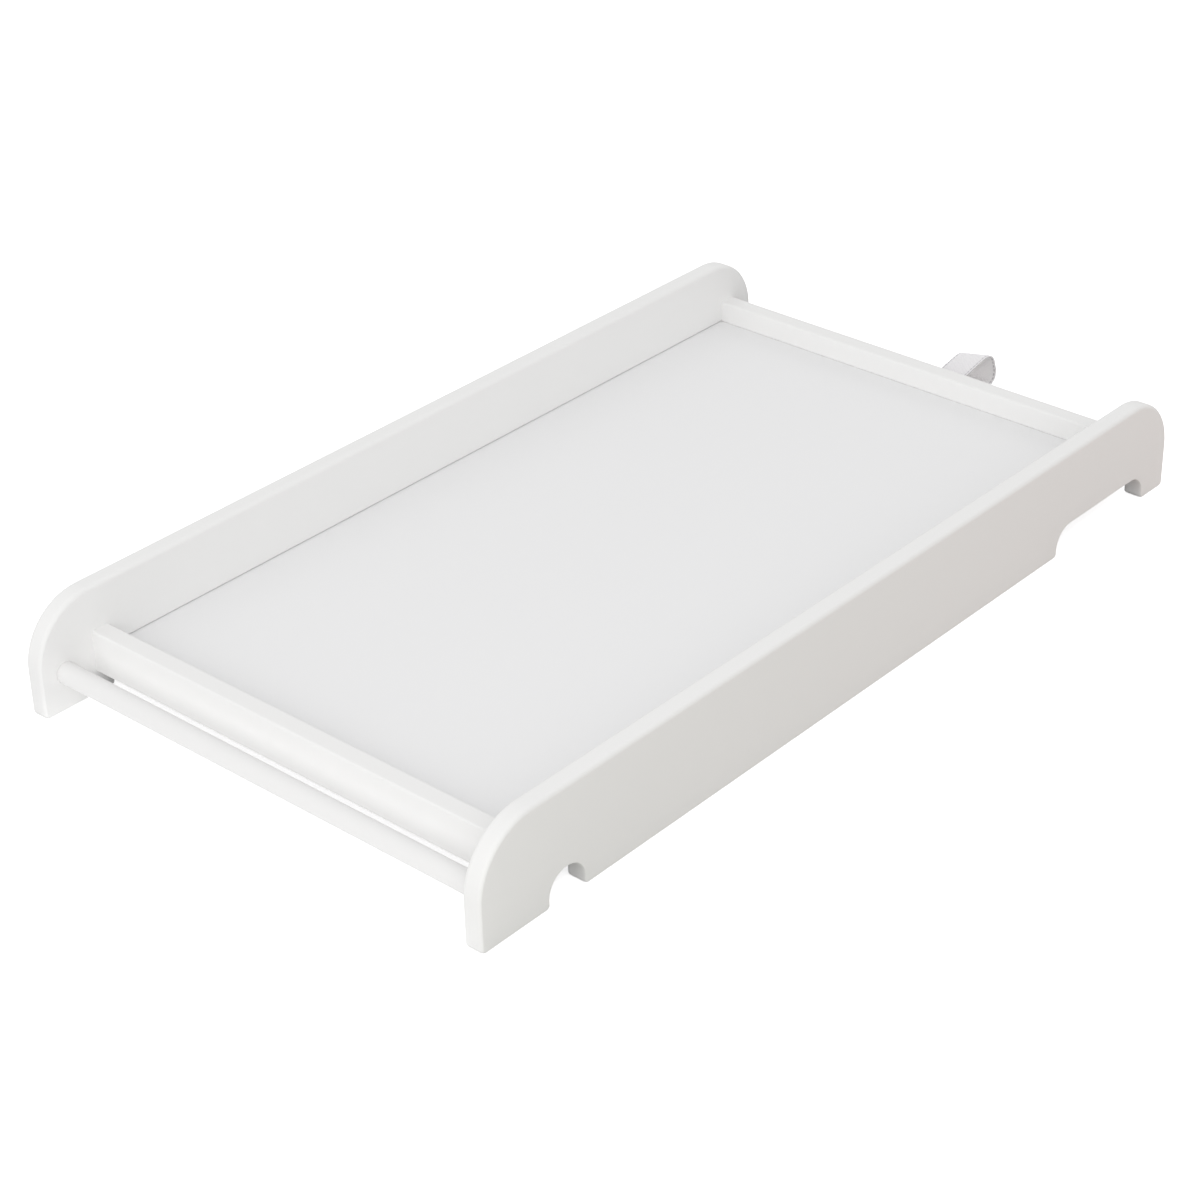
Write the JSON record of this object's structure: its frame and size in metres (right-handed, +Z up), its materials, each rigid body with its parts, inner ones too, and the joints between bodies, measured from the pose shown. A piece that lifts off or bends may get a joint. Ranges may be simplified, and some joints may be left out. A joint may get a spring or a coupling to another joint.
{
  "type": "cot top changer",
  "caption": "Shallow white tray that rests across the rails of a cot: notched side panels with rounded corners, cross rails, a flat base, a towel rail and a webbing safety strap.",
  "frame": {"origin": "on the plane that the side panels stand on, at the middle of the panels' length and of the width over them", "axes": "+X along the length, from the towel end to the strap end; +Y across, from the right panel to the left panel; +Z up"},
  "size_m": [0.9415, 0.48, 0.095],
  "materials": {
    "white_paint": "satin white paint",
    "white_board": "satin white paint",
    "beech": "bare",
    "webbing": "woven",
    "zinc": "zinc plated"
  },
  "bodies": {
    "frame": {"left_side_panel": "white_paint", "right_side_panel": "white_paint", "towel_end_rail": "white_paint", "strap_end_rail": "white_paint", "base_panel": "white_board", "towel_left_upper_dowel": "beech", "towel_left_lower_dowel": "beech", "towel_right_upper_dowel": "beech", "towel_right_lower_dowel": "beech", "strap_left_upper_dowel": "beech", "strap_left_lower_dowel": "beech", "strap_right_upper_dowel": "beech", "strap_right_lower_dowel": "beech", "strap_screw": "zinc", "strap_washer": "zinc"},
    "towel_bar": {"towel_rail": "white_paint"},
    "strap": {"safety_strap": "webbing"}
  },
  "joints": [
    {"name": "towel_rail_spin", "type": "hinge", "parent": "frame", "child": "towel_bar", "pos_m": [-0.4135, 0, 0.033], "axis": [0, 1, 0], "continuous": true},
    {"name": "strap_swivel", "type": "hinge", "parent": "frame", "child": "strap", "pos_m": [0.4025, 0, 0.0174], "axis": [0, 0, 1], "range_deg": [-30, 30]}
  ]
}
